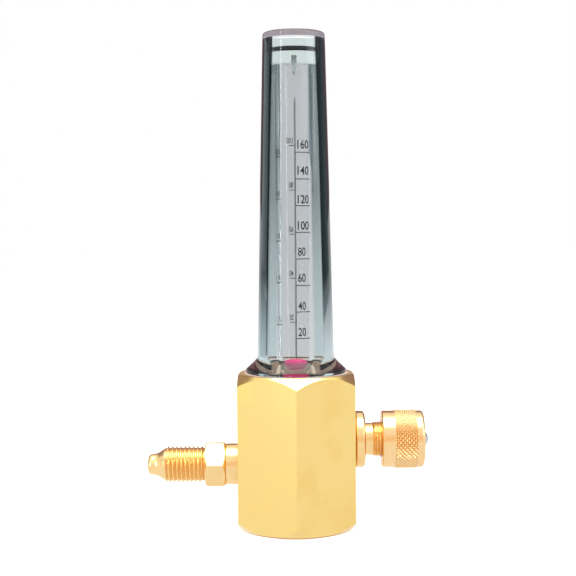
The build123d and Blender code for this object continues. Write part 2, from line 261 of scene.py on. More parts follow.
# %% [markdown]
# A squeezed ring touches the wall that it seals, and only where it touches can it be seen
# through the thick part of a clear wall. The CAD ring is drawn just clear of the wall, so a
# ring that presses 0.02 mm into it takes its place here. Its section is a circle.

# %% Ring round the plug
PLUG_RING_HEIGHT = 142.7
PLUG_RING_INNER = 5.44
PLUG_RING_OUTER = 6.84
PLUG_RING_ROWS, PLUG_RING_COLUMNS = 24, 128
section = np.linspace(0, 2 * math.pi, PLUG_RING_ROWS, endpoint=False)
section_half = (PLUG_RING_OUTER - PLUG_RING_INNER) / 2
ring_radius = (PLUG_RING_INNER + section_half + section_half * np.cos(section))[:, None]
ring_height = PLUG_RING_HEIGHT + section_half * np.sin(section)
ring_grid = round_axis(ring_radius, ring_height, PLUG_RING_COLUMNS)
plug_ring = turned_piece("plug_ring", ring_grid, "seal_rubber", "plug_o_ring")

# %% [markdown]
# A screw thread is a groove that climbs as it goes round. On a grid that is simple to say:
# the depth at a point depends on how far it lies from the crest of its own turn, and that is
# the height divided by the pitch, less the share of a full turn. Cutting it with a Boolean
# would leave long thin faces, and this way every face is a small regular quad.

# %% Thread depth
FLAT_SHARE = 0.12


def thread_depth(height, columns, pitch, depth):
    """Depth of a right-handed V thread at each height and column.

    The turn's share is u = height / pitch - angle / full turn. The V is the distance of u
    from the nearest crest, with a little flat cut off its crest and its root.
    """
    share = np.arange(columns) / columns
    u = (height[:, None] / pitch - share[None]) % 1
    slope = 1 - np.abs(2 * u - 1)
    return depth * np.clip((slope - FLAT_SHARE) / (1 - 2 * FLAT_SHARE), 0, 1)


one_turn = thread_depth(np.linspace(0, 1, 5), 1, pitch=1.0, depth=0.5)[:, 0]
print("depth over one turn:", one_turn.round(2).tolist())

# %% [markdown]
# Both side fittings are made of stretches: plain turned ones, a thread, and on the outlet a
# hexagon. A stretch is a set of rows with their heights, and a fitting is one stretch after
# another in a single grid. Its axis points out of one of the block's flats.

# %% Stretches of a side fitting
BLOCK_APOTHEM = 17.465


def plain_stretch(profile, columns):
    """Rows of a profile, with the same radius all the way round, and their heights."""
    return np.repeat(profile[:, :1], columns, axis=1), profile[:, 1]


def thread_stretch(columns, rows, start, end, pitch, depth, radius, start_radius, end_radius):
    """Rows of a thread that runs out at both ends, as a cutter leaves it, and their heights.

    The radius is the least of three: the crest's less the depth there, and two cones that
    rise one to one from the radii at the ends.
    """
    height = np.linspace(start, end, rows)
    grooved = radius - thread_depth(height, columns, pitch, depth)
    cones = np.minimum(start_radius + (height - start), end_radius + (end - height))
    return np.minimum(grooved, cones[:, None]), height


def side_fitting(name, stretches, columns, height, side, stands_for):
    """Brass piece out of the block's flat on one side, -1 for the left and 1 for the right."""
    grid = round_axis(
        np.concatenate([rows for rows, _ in stretches]),
        np.concatenate([heights for _, heights in stretches]),
        columns,
        origin=(side * BLOCK_APOTHEM * MM, 0, height * MM),
        x_dir=(0, 1, 0),
        z_dir=(side, 0, 0),
    )
    return turned_piece(name, grid, "brass_fitting", stands_for)


print("the block's flats are", 2 * BLOCK_APOTHEM, "mm apart")

# %% [markdown]
# The flare outlet is one bar of brass: shank, round collar, hexagon, thread and a nose for
# the flared tube to seal on. The hexagon is the polar formula of a straight side, cut by two
# cones at its ends, and those give the curved chamfer lines that every nut has.

# %% Flare outlet: shank and hexagon
OUTLET_COLUMNS = 180
HEX_START, HEX_END = 3.74, 10.14
HEX_APOTHEM, HEX_END_CIRCLE = 6.35, 6.0
HEX_TURN, HEX_CONE_ANGLE = 6.0, 30.0
HEX_END_ROWS, HEX_END_REACH = 12, 0.9
outlet_shank = softened([
    (1.4, -6.6, 0.0),
    (4.8, -6.6, 0.2),
    (4.8, 0.0, 0.0),
    (6.2, 0.0, 0.1),
    (6.2, HEX_START, 0.25),
    (HEX_END_CIRCLE, HEX_START, 0.0),
])
outlet_angle = np.degrees(2 * math.pi * np.arange(OUTLET_COLUMNS) / OUTLET_COLUMNS)
from_flat = np.radians((outlet_angle - HEX_TURN) % 60 - 30)
hex_radius = HEX_APOTHEM / np.cos(from_flat)
near_ends = np.linspace(0, 1, HEX_END_ROWS) ** 1.5 * HEX_END_REACH
hex_height = np.concatenate([HEX_START + near_ends, HEX_END - near_ends[::-1]])
hex_to_end = np.minimum(hex_height - HEX_START, HEX_END - hex_height)
hex_cone = HEX_END_CIRCLE + hex_to_end / math.tan(math.radians(HEX_CONE_ANGLE))
hex_rows = np.minimum(hex_radius[None], hex_cone[:, None])
print("hexagon:", 2 * HEX_APOTHEM, "mm across flats,", round(2 * hex_rows.max(), 2), "over corners")

# %% [markdown]
# The outlet's thread has 20 turns to the inch. The nose after it is a smooth round stub with
# the gas way in its tip. The plain stretch before it is the groove where the cutter starts.

# %% Flare outlet: thread, nose and the whole
THREAD_START, THREAD_END = 10.44, 22.14
RELIEF_RADIUS, RELIEF_GAP, NOSE_BASE_RADIUS = 4.85, 0.02, 5.0
outlet_relief = np.array([[RELIEF_RADIUS, HEX_END], [RELIEF_RADIUS, THREAD_START - RELIEF_GAP]])
outlet_thread = thread_stretch(
    OUTLET_COLUMNS,
    rows=118,
    start=THREAD_START,
    end=THREAD_END,
    pitch=1.27,
    depth=0.7,
    radius=5.556,
    start_radius=RELIEF_RADIUS,
    end_radius=NOSE_BASE_RADIUS,
)
outlet_nose = softened([
    (RELIEF_RADIUS, THREAD_END, 0.0),
    (NOSE_BASE_RADIUS - 0.15, THREAD_END + 0.25, 0.1),
    (3.35, 24.6, 0.9),
    (2.95, 27.2, 0.9),
    (1.8, 27.54, 0.25),
    (1.4, 27.54, 0.0),
])[1:]
outlet_stretches = [
    plain_stretch(outlet_shank, OUTLET_COLUMNS),
    (hex_rows, hex_height),
    plain_stretch(outlet_relief, OUTLET_COLUMNS),
    outlet_thread,
    plain_stretch(outlet_nose, OUTLET_COLUMNS),
]
outlet = side_fitting(
    "flare_outlet", outlet_stretches, OUTLET_COLUMNS, height=19.0, side=-1, stands_for="outlet_fitting"
)

# %% [markdown]
# The valve's bonnet has a collar, a neck and a fine thread that the knob screws along. Only
# the first turns show beside the knob, but the whole thread is here, because the knob backs
# off it when the valve opens.

# %% Valve bonnet
BONNET_COLUMNS = 144
STEM_HOLE_RADIUS = 1.6
SCREW_START, SCREW_END = 5.5, 15.5
bonnet_front = softened([
    (STEM_HOLE_RADIUS, -3.765, 0.0),
    (2.6, -3.765, 0.0),
    (2.6, -7.965, 0.0),
    (5.5, -7.965, 0.3),
    (5.5, 0.0, 0.0),
    (7.93, 0.0, 0.15),
    (8.53, 0.6, 0.2),
    (8.53, 2.54, 0.2),
    (7.93, 3.14, 0.15),
    (4.83, 3.14, 0.2),
    (4.83, SCREW_START, 0.0),
])
bonnet_screw = thread_stretch(
    BONNET_COLUMNS,
    rows=168,
    start=SCREW_START,
    end=SCREW_END,
    pitch=0.794,
    depth=0.42,
    radius=5.4,
    start_radius=4.95,
    end_radius=5.0,
)
bonnet_stretches = [
    plain_stretch(bonnet_front, BONNET_COLUMNS),
    bonnet_screw,
    plain_stretch(np.array([[STEM_HOLE_RADIUS, SCREW_END]]), BONNET_COLUMNS),
]
bonnet = side_fitting(
    "bonnet", bonnet_stretches, BONNET_COLUMNS, height=26.3, side=1, stands_for="valve_bonnet"
)

# %% [markdown]
# The scale is printed on the outside of the metering tube, so it is wrapped round it: a
# distance across the print becomes an angle. A line or tick is a thin curved bar, lifted off
# the glass by a hair so that the two surfaces never share a place.

# %% Curved bars for lines and ticks
PRINT_THICKNESS = 0.02
PRINT_OFFSET = 0.012
BAR_STEP = 4


def wrapped(azimuth, height, radius):
    """Point on a cylinder about Z, in metres, for an azimuth in degrees from the front.

    It is radius (sin a, -cos a) at that height, so a grows to the right as seen from outside.
    """
    a = np.radians(azimuth)
    return MM * np.stack([radius * np.sin(a), -radius * np.cos(a), height], axis=-1)


def curved_bar(first, last, bottom, top):
    """Grid of a closed bar between two azimuths and two heights: a rectangle carried round."""
    inner = TUBE_RADIUS + PRINT_OFFSET
    outer = inner + PRINT_THICKNESS
    azimuth = np.linspace(first, last, 2 + int((last - first) / BAR_STEP))
    rim_radius = np.array([inner, outer, outer, inner])
    rim_height = np.array([bottom, bottom, top, top])
    body = wrapped(azimuth[:, None], rim_height[None] + 0 * azimuth[:, None], rim_radius[None])
    middles = wrapped(np.array([first, last]), np.full(2, (bottom + top) / 2), (inner + outer) / 2)
    caps = np.repeat(middles[:, None], 4, axis=1)
    return np.concatenate([caps[:1], body, caps[1:]])


print("rows of points in a bar 43 degrees long:", len(curved_bar(0, 43, 0, 0.24)))

# %% [markdown]
# Text is flat, so a number is first made flat with Blender's own font and then bent: how far
# along the text a vertex lies becomes an angle round the tube. The faces stay as they were.

# %% Numbers wrapped on the tube
TEXT_THICKNESS = 0.5
TEXT_BOLDNESS = 0.01
TEXT_END_GAP = 0.12


def number_mesh(text, azimuth, bottom, tall, advance):
    """Mesh of the number in a slightly bold face, from its left edge and its foot.

    Across the text, x millimetres become x / radius radians; up it, y is added to the foot;
    and the text's own thickness is added to the radius.
    """
    curve = bpy.data.curves.new("number", "FONT")
    curve.body = text
    curve.extrude = TEXT_THICKNESS
    curve.offset = TEXT_BOLDNESS
    holder = new_object("number", curve)
    bpy.context.view_layer.update()
    mesh = bpy.data.meshes.new_from_object(holder)
    bpy.data.objects.remove(holder)
    flat = np.zeros(len(mesh.vertices) * 3)
    mesh.vertices.foreach_get("co", flat)
    flat = flat.reshape(-1, 3)
    low, size = flat.min(0), np.ptp(flat, axis=0)
    share = (flat - low) / size
    width = len(text) * advance - TEXT_END_GAP
    a = azimuth + np.degrees(share[:, 0] * width / TUBE_RADIUS)
    radius = TUBE_RADIUS + PRINT_OFFSET + PRINT_THICKNESS * share[:, 2]
    bent = wrapped(a, bottom + tall * share[:, 1], radius)
    mesh.vertices.foreach_set("co", bent.ravel())
    return mesh


print("a number's print is", PRINT_THICKNESS, "mm thick")

# %% [markdown]
# A scale is one upright line, with ticks to its right and a number over each tick. The front
# one follows the picture. The numbers of the other two can't be read in it, so those two are
# filled with plain round numbers at the heights of the ticks that do show.

# %% The scales
FRONT_FIRST, FRONT_STEP = 57.5, 7.85
scales = [
    # line azimuth, tick span, line foot, line top, tick heights, numbers, digit height, advance
    (2, 45, 51.0, 128.5, FRONT_FIRST + FRONT_STEP * np.arange(8), range(20, 161, 20), 2.5, 1.16),
    (180, 22, 51.0, 128.0, 61.76 + 13.24 * np.arange(5), range(20, 101, 20), 1.7, 0.95),
    (-98, 45, 51.0, 128.0, 61.4 + 12.47 * np.arange(5), range(20, 101, 20), 1.7, 0.95),
]
# The numbers of the front scale don't stand at one distance above their ticks
front_feet = [0.66, 0.52, 1.0, 0.9, 0.75, 0.63, 1.25, 1.07]
OTHER_FOOT = 0.6
NUMBER_SHIFT = 6
LINE_HALF = 0.09
TICK_HALF = 0.12
half_turn = math.degrees(LINE_HALF / TUBE_RADIUS)
bars, numbers = [], []
for line, span, foot, top, heights, values, tall, advance in scales:
    bars.append(curved_bar(line - half_turn, line + half_turn, foot, top))
    feet = front_feet if len(values) == len(front_feet) else [OTHER_FOOT] * len(values)
    for height, value, gap in zip(heights, values, feet):
        bars.append(curved_bar(line + half_turn, line + span, height - TICK_HALF, height + TICK_HALF))
        numbers.append(number_mesh(str(value), line + NUMBER_SHIFT, height + gap, tall, advance))

print("bars:", len(bars), "numbers:", len(numbers))

# %% [markdown]
# Dozens of little bars and digits would each need a finish of their own. Instead they are put
# one after the other into a single mesh, which is one coat of ink.

# %% Join the print into one piece
def joined(name, meshes):
    """One mesh with the vertices and faces of all the given ones.

    A face is a run of corners, and each corner holds a vertex's number. These numbers, and the
    places where the runs start, are moved on by what the meshes before hold.
    """
    places, corners, runs = [], [], []
    vertices_before = corners_before = 0
    for mesh in meshes:
        place = np.zeros(3 * len(mesh.vertices), np.float32)
        corner = np.zeros(len(mesh.loops), np.int32)
        run = np.zeros(len(mesh.polygons), np.int32)
        mesh.vertices.foreach_get("co", place)
        mesh.loops.foreach_get("vertex_index", corner)
        mesh.polygons.foreach_get("loop_start", run)
        places.append(place)
        corners.append(corner + vertices_before)
        runs.append(run + corners_before)
        vertices_before += len(mesh.vertices)
        corners_before += len(mesh.loops)
        bpy.data.meshes.remove(mesh)
    places, corners, runs = (np.concatenate(parts) for parts in (places, corners, runs))
    whole = bpy.data.meshes.new(name)
    whole.vertices.add(vertices_before)
    whole.loops.add(corners_before)
    whole.polygons.add(len(runs))
    whole.vertices.foreach_set("co", places)
    whole.loops.foreach_set("vertex_index", corners.astype(np.int32))
    whole.polygons.foreach_set("loop_start", runs.astype(np.int32))
    whole.shade_flat()
    whole.update(calc_edges=True)
    return whole


bar_meshes = [mesh_from_grid("bar", bar, closed=False) for bar in bars]
scale_mesh = joined("printed_scale", bar_meshes + numbers)
scale_print = put_in_scene("printed_scale", scale_mesh, "meter")

# %% [markdown]
# Materials are node trees, and a tree that is written out socket by socket is hard to read.
# Two small helpers shorten it. The first adds a node and feeds its sockets with values or with
# other nodes' outputs. The second works out one number from two.

# %% Node helpers
def add(tree, kind, feeds=None, **settings):
    """Adds a node, applies its settings and feeds its inputs with values or sockets."""
    made = tree.nodes.new(kind)
    for name, value in settings.items():
        setattr(made, name, value)
    for name, value in (feeds or {}).items():
        if isinstance(value, bpy.types.NodeSocket):
            tree.links.new(value, made.inputs[name])
        else:
            made.inputs[name].default_value = value
    return made


def maths(tree, operation, first, second):
    """Result of an operation on two values, such as ADD, MULTIPLY or LESS_THAN."""
    return add(tree, "ShaderNodeMath", {0: first, 1: second}, operation=operation).outputs[0]


print("finishes from CAD that are replaced below:", len(bpy.data.materials))

# %% [markdown]
# What several finishes need is made once, as a node group with named inputs and outputs. It
# puts out only values and colours, so that each material keeps a shader of its own.

# %% Start an effect group
FLOAT, VECTOR, COLOUR = "NodeSocketFloat", "NodeSocketVector", "NodeSocketColor"


def new_group(name, inputs, outputs):
    """Shader node group with named float, vector or colour sockets, and its two end nodes."""
    group = bpy.data.node_groups.new(name, "ShaderNodeTree")
    for label, kind, value in inputs:
        socket = group.interface.new_socket(label, in_out="INPUT", socket_type=kind)
        if value is not None:
            socket.default_value = value
    for label, kind in outputs:
        group.interface.new_socket(label, in_out="OUTPUT", socket_type=kind)
    return group, group.nodes.new("NodeGroupInput").outputs, group.nodes.new("NodeGroupOutput").inputs


print("effect groups so far:", len(bpy.data.node_groups))

# %% [markdown]
# Turned metal carries very fine rings left by the tool. Seen from a step away they are not
# lines but a slight unevenness in height and tone that runs round the part. The group reads
# one number, the distance along the axis, so it serves parts on any axis.

# %% Effect group: tool marks
tool_marks, marks_in, marks_out = new_group(
    "tool_marks",
    [("Along", FLOAT, 0.0), ("Lines per metre", FLOAT, 2500.0), ("Strength", FLOAT, 1.0)],
    [("Height", FLOAT), ("Tone", FLOAT)],
)
marks_place = maths(tool_marks, "MULTIPLY", marks_in["Along"], marks_in["Lines per metre"])
marks_noise = add(
    tool_marks,
    "ShaderNodeTexNoise",
    {"W": marks_place, "Scale": 1.0, "Detail": 3.0, "Roughness": 0.6},
    noise_dimensions="1D",
).outputs[0]
marks_centre = maths(tool_marks, "SUBTRACT", marks_noise, 0.5)
marks_tone = maths(tool_marks, "MULTIPLY", marks_centre, marks_in["Strength"])
tool_marks.links.new(marks_noise, marks_out["Height"])
tool_marks.links.new(marks_tone, marks_out["Tone"])
print("group tool_marks:", len(tool_marks.nodes), "nodes")

# %% [markdown]
# A mask often has to follow some other number between two limits, such as a height or a noise.
# Blender's Map Range node does that, in a straight line or with soft ends.

# %% Ramps
SMOOTH = "SMOOTHSTEP"


def ramp(tree, value, low, high, start=0.0, end=1.0, shape="LINEAR"):
    """A number that goes from start to end while the value goes from low to high."""
    feeds = {"Value": value, "From Min": low, "From Max": high, "To Min": start, "To Max": end}
    return add(tree, "ShaderNodeMapRange", feeds, interpolation_type=shape).outputs[0]


print("ramps are LINEAR or", SMOOTH)

# %% [markdown]
# Brass that has been handled is never even: there are faint darker clouds of tarnish, and
# small dings. A second group gives a soft mask for the clouds and a sparse one for the dings.

# %% Effect group: handling wear
CLOUD_EDGES = (0.42, 0.7)
DING_REACH = 0.16
handling, handling_in, handling_out = new_group(
    "handling_wear",
    [("Place", VECTOR, None), ("Cloud scale", FLOAT, 90.0), ("Ding scale", FLOAT, 420.0)],
    [("Clouds", FLOAT), ("Dings", FLOAT)],
)
cloud_feeds = {
    "Vector": handling_in["Place"],
    "Scale": handling_in["Cloud scale"],
    "Detail": 4.0,
    "Roughness": 0.55,
}
clouds = add(handling, "ShaderNodeTexNoise", cloud_feeds).outputs[0]
ding_feeds = {"Vector": handling_in["Place"], "Scale": handling_in["Ding scale"], "Randomness": 1.0}
dings = add(handling, "ShaderNodeTexVoronoi", ding_feeds).outputs["Distance"]
cloud_mask = ramp(handling, clouds, *CLOUD_EDGES, shape=SMOOTH)
ding_mask = ramp(handling, dings, 0.0, DING_REACH, 1.0, 0.0, SMOOTH)
handling.links.new(cloud_mask, handling_out["Clouds"])
handling.links.new(ding_mask, handling_out["Dings"])
print("group handling_wear:", len(handling.nodes), "nodes")

# %% [markdown]
# The finishes share a few steps: an empty material, colours that are mixed by a mask, a bump
# that is made from a height, and a shader that is led out at the end.

# %% Helpers for finishes
WHITE = (1, 1, 1, 1)


def new_material(name):
    """Material with an empty node tree."""
    material = bpy.data.materials.new(name)
    material.use_nodes = True
    material.node_tree.nodes.clear()
    return material, material.node_tree


def mixed(tree, share, first, second):
    """Colour between two others: the first one at share 0 and the second one at share 1."""
    feeds = {"Factor": share, "A": first, "B": second}
    return add(tree, "ShaderNodeMix", feeds, data_type="RGBA").outputs["Result"]


def bumped(tree, height, strength, depth, normal=None, invert=False):
    """Normal that is bent by a height, at a depth in metres."""
    feeds = {"Height": height, "Strength": strength, "Distance": depth}
    if normal is not None:
        feeds["Normal"] = normal
    return add(tree, "ShaderNodeBump", feeds, invert=invert).outputs[0]


def finish_with(tree, shader):
    """Leads a shader out of the material."""
    add(tree, "ShaderNodeOutputMaterial", {0: shader.outputs[0]})


print("plain white is", WHITE)

# %% [markdown]
# Thread roots and inner corners get painted shade: a darker groove colour where the Ambient
# Occlusion node finds little open air nearby. The block's recess under the cover is found by its
# distance from the upright axis instead, and there the brass is coloured paler, as painted light.

# %% Masks for grooves and for the recess
GROOVE_REACH = 0.6 * MM


def walled_in(tree, limits):
    """Mask of painted groove shade: 1 where the share of open air is below both limits, 0 above them.
    """
    air = add(tree, "ShaderNodeAmbientOcclusion", {"Distance": GROOVE_REACH}, samples=8)
    return ramp(tree, air.outputs["AO"], *limits, 1.0, 0.0, SMOOTH)


def near_axis(tree, place, radius):
    """Mask of what is nearer to the upright axis than a radius in millimetres.

    The distance is the length of the place's X and Y parts, with Z set to nothing.
    """
    level = add(tree, "ShaderNodeVectorMath", {0: place, 1: (1, 1, 0)}, operation="MULTIPLY")
    reach = add(tree, "ShaderNodeVectorMath", {0: level.outputs[0]}, operation="LENGTH")
    return maths(tree, "LESS_THAN", reach.outputs["Value"], radius * MM)


print("grooves are what is walled in within", round(GROOVE_REACH / MM, 2), "mm")

# %% [markdown]
# Brass is a metal, so its colour is the colour of its reflections. The same recipe serves
# the block, the fittings, the knob and the inner parts, with other colours and axes. Tone is
# changed by a few percent with the tool marks and the clouds, and dings go into the bump.

# %% Brass
EDGE_RADIUS = 0.12 * MM
RING_DEPTH, RING_STRENGTH = 0.02 * MM, 0.05
DING_DEPTH, DING_STRENGTH = 0.05 * MM, 0.12
CLOUD_DULLING = 0.1
# The recess's paler colour is painted light; its roughness is its own.
RECESS_PAINTED_LIGHT, BORE_ROUGHNESS = (1, 0.84, 0.74, 1), 0.85


def brass(name, colour, tarnish, groove, axis, roughness, marks=0.12, walled=(0.45, 0.85), bore=0):
    """Brass whose tool marks run round the given axis, 0 for X and 2 for Z.

    The groove colour is painted shade: it fills what is walled in, such as thread roots, between
    the two limits of open air. Inside the bore's radius, in millimetres, the metal is duller, and
    its colour is paler as painted light.
    """
    material, tree = new_material(name)
    place = add(tree, "ShaderNodeTexCoord").outputs["Object"]
    along = add(tree, "ShaderNodeSeparateXYZ", {0: place}).outputs[axis]
    lathe_feeds = {"Along": along, "Strength": marks}
    lathe = add(tree, "ShaderNodeGroup", lathe_feeds, node_tree=tool_marks).outputs
    wear = add(tree, "ShaderNodeGroup", {"Place": place}, node_tree=handling).outputs

    in_bore = near_axis(tree, place, bore)

    base = mixed(tree, wear["Clouds"], (*colour, 1), (*tarnish, 1))
    # Painted shade: the groove colour darkens what the Ambient Occlusion node finds walled in.
    groove_shaded = mixed(tree, walled_in(tree, walled), base, (*groove, 1))
    # Painted light: inside the block's recess the colour is paler, so that it looks more brightly lit.
    recess_lit = mixed(tree, in_bore, groove_shaded, RECESS_PAINTED_LIGHT)
    lightness = maths(tree, "ADD", lathe["Tone"], 1.0)
    toned = add(tree, "ShaderNodeHueSaturation", {"Value": lightness, "Color": recess_lit})

    shine = ramp(tree, wear["Clouds"], 0.0, 1.0, roughness, roughness + CLOUD_DULLING)
    dulling = {"Factor": in_bore, "A": shine, "B": BORE_ROUGHNESS}
    dulled = add(tree, "ShaderNodeMix", dulling, data_type="FLOAT")
    soft_edge = add(tree, "ShaderNodeBevel", {"Radius": EDGE_RADIUS}, samples=4).outputs[0]
    turned = bumped(tree, lathe["Height"], RING_STRENGTH, RING_DEPTH, soft_edge)
    dented = bumped(tree, wear["Dings"], DING_STRENGTH, DING_DEPTH, turned, invert=True)
    feeds = {
        "Base Color": toned.outputs[0],
        "Metallic": 1.0,
        "Roughness": dulled.outputs[0],
        "Normal": dented,
    }
    finish_with(tree, add(tree, "ShaderNodeBsdfPrincipled", feeds))
    return material


print("clouds make the brass duller by up to", CLOUD_DULLING)

# %% [markdown]
# The pieces don't share one cut and polish. The block is plain bar, so its marks are weak. The
# fittings and the knob are a little redder and shinier, and on the knob more gets painted groove
# shade, because a knurl is shallow. The inner parts are dull, and paler as painted light.

# %% The four brasses
brass_of_slot = {
    "brass_block": brass(
        "block_brass", (0.95, 0.7, 0.26), (0.92, 0.65, 0.22), (0.6, 0.3, 0.1), 2, 0.22,
        marks=0.03, bore=15.4,
    ),
    "brass_fitting": brass(
        "fitting_brass", (0.97, 0.69, 0.33), (0.95, 0.64, 0.28), (0.84, 0.5, 0.22), 0, 0.19
    ),
    "brass_knob": brass(
        "knob_brass", (0.97, 0.67, 0.34), (0.95, 0.62, 0.29), (0.84, 0.53, 0.26), 0, 0.21,
        walled=(0.6, 0.95),
    ),
    # Painted light: the inner brass is paler than its metal, so that the parts inside the cover look
    # lit.
    "brass_inner": brass(
        "inner_brass", (0.94, 0.74, 0.52), (0.88, 0.66, 0.42), (0.8, 0.55, 0.36), 2, 0.55
    ),
}
print("brass finishes:", ", ".join(brass_of_slot))

# %% [markdown]
# Clear parts show dark bands along their sides, where the light would have to come from far
# out and is lost instead. Ray tracing gives the bending, but the room that darkens the bands
# isn't in this scene, so the bands are painted shade in the colour. Layer Weight tells how far
# the surface turns away, and a group paints the band from it. Its inputs say where band and
# veil begin and end, in turn and in metres.

# %% Effect group: sockets for the side bands
painted_side_shade, band_in, band_out = new_group(
    "painted_side_shade",
    [
        ("Facing", FLOAT, 0.0),
        ("Height", FLOAT, 0.0),
        ("Start", FLOAT, 0.3),
        ("Full", FLOAT, 0.335),
        ("Foot", FLOAT, 0.043),
        ("Head", FLOAT, 0.077),
        ("Veil foot", FLOAT, 0.02),
        ("Veil head", FLOAT, 0.1),
        ("Seen", FLOAT, 1.0),
        ("Clear", COLOUR, WHITE),
        ("Low veil", COLOUR, (0.67, 0.9, 0.98, 1)),
        ("Veil", COLOUR, WHITE),
        ("Veil start", FLOAT, 0.1),
        ("Veil end", FLOAT, 0.138),
        ("Inner", COLOUR, (0.1, 0.1, 0.1, 1)),
        ("Outer", COLOUR, (0.3, 0.3, 0.3, 1)),
    ],
    [("Color", COLOUR)],
)
print("painted_side_shade takes", len(band_in), "sockets with its spare one")

# %% [markdown]
# The painted shade of the band starts at a given turn, is darkest there, and gets lighter
# outwards. It fades towards the foot, and above 115 mm it reaches further in.

# %% The band
WIDER_FROM, WIDER_TO, WIDER_BY = 0.115, 0.14, 0.035
OUTER_TURN = 0.85
band_facing, band_height = band_in["Facing"], band_in["Height"]
wider = ramp(painted_side_shade, band_height, WIDER_FROM, WIDER_TO, end=WIDER_BY)
band_turn = maths(painted_side_shade, "ADD", band_facing, wider)
band_mask = ramp(painted_side_shade, band_turn, band_in["Start"], band_in["Full"], shape=SMOOTH)
rise_mask = ramp(painted_side_shade, band_height, band_in["Foot"], band_in["Head"], shape=SMOOTH)
band_share = maths(painted_side_shade, "MULTIPLY", band_mask, rise_mask)
outwards = ramp(painted_side_shade, band_facing, band_in["Full"], OUTER_TURN)
# Painted shade: the band's colour, from Inner at its start to Outer further out.
band_shade_colour = mixed(painted_side_shade, outwards, band_in["Inner"], band_in["Outer"])
print("from", WIDER_FROM, "to", WIDER_TO, "m the band widens by", WIDER_BY, "of the turn")

# %% [markdown]
# A softer veil of painted shade lies between the band and the tube, and ends below the plug.
# Further down it turns paler, and the clear middle loses its tint, as painted light: the foot
# stands in brighter light.

# %% The veil
VEIL_EDGE = 0.05
FOOT_LIGHT_FROM, FOOT_LIGHT_TO = 0.05, 0.08
veil_full = maths(painted_side_shade, "ADD", band_in["Veil start"], VEIL_EDGE)
veil_mask = ramp(painted_side_shade, band_facing, band_in["Veil start"], veil_full, shape=SMOOTH)
below_plug = maths(painted_side_shade, "LESS_THAN", band_height, band_in["Veil end"])
veil_share = maths(painted_side_shade, "MULTIPLY", veil_mask, below_plug)
veil_rise = ramp(painted_side_shade, band_height, band_in["Veil foot"], band_in["Veil head"])
veil_shade_colour = mixed(painted_side_shade, veil_rise, band_in["Low veil"], band_in["Veil"])
foot_light = ramp(painted_side_shade, band_height, FOOT_LIGHT_FROM, FOOT_LIGHT_TO, 1.0, 0.0)
clear_here = mixed(painted_side_shade, foot_light, band_in["Clear"], WHITE)
veiled = mixed(painted_side_shade, veil_share, clear_here, veil_shade_colour)
print("the tint is full above", FOOT_LIGHT_TO, "m")

# %% [markdown]
# The sloping flange gets painted shade outside a line that leans outwards as it rises, and the
# solid top a darker tint that is painted shade too. All of this is for the first surface that
# the camera meets: where the input Seen is 0, only the clear tint is left.

# %% Flange and top
FLANGE_FOOT, FLANGE_HEAD = 0.0479, 0.0512
FLANGE_FOOT_TURN, FLANGE_HEAD_TURN = 0.33, 0.9
FLANGE_PAINTED_SHADE = (0.014, 0.007, 0.009, 1)
TOP_FOOT, TOP_PAINTED_SHADE = 0.1463, (0.16, 0.13, 0.155, 1)
flange_start = ramp(
    painted_side_shade, band_height, FLANGE_FOOT, FLANGE_HEAD, FLANGE_FOOT_TURN, FLANGE_HEAD_TURN
)
flange_side = maths(painted_side_shade, "GREATER_THAN", band_facing, flange_start)
in_flange = maths(painted_side_shade, "LESS_THAN", band_height, FLANGE_HEAD)
flange_share = maths(painted_side_shade, "MULTIPLY", flange_side, in_flange)
flanged = mixed(painted_side_shade, flange_share, veiled, FLANGE_PAINTED_SHADE)
banded = mixed(painted_side_shade, band_share, flanged, band_shade_colour)
in_top = maths(painted_side_shade, "GREATER_THAN", band_height, TOP_FOOT)
topped = mixed(painted_side_shade, in_top, banded, TOP_PAINTED_SHADE)
band_shown = mixed(painted_side_shade, band_in["Seen"], band_in["Clear"], topped)
painted_side_shade.links.new(band_shown, band_out["Color"])
print("group painted_side_shade:", len(painted_side_shade.nodes), "nodes")

# %% [markdown]
# The two clear finishes share one recipe. The painted shade of band and veil is meant for the
# first surface that the camera meets, so Light Path's camera ray switches it on, and every
# later surface only tints. Plastic and glass differ in their tints, their sheen and how
# strongly they bend light.

